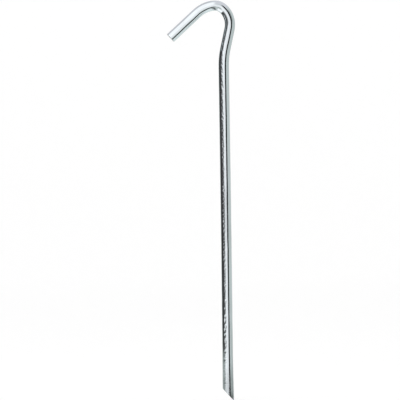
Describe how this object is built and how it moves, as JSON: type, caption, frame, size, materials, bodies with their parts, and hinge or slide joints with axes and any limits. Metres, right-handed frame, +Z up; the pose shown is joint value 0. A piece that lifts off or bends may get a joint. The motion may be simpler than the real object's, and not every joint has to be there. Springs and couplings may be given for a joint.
{
  "type": "tent stake",
  "caption": "Slim round steel rod bent over into an open hook at the top and sheared to a slanted point at the bottom, driven into the ground to hold a tent loop or guy line.",
  "frame": {"origin": "on the shank's axis at the ground line, 190 mm above the lowest place on the point", "axes": "+Z up along the shank to the hook, -Z down the shank into the ground, -X towards the side that the hook opens to, the whole stake lying in the XZ plane"},
  "size_m": [0.0391, 0.006, 0.23],
  "materials": {
    "zinc_plated_steel": "bright zinc plating over drawn wire, with roller marks down the shank"
  },
  "bodies": {
    "root": {"stake_rod": "zinc_plated_steel"}
  },
  "joints": []
}
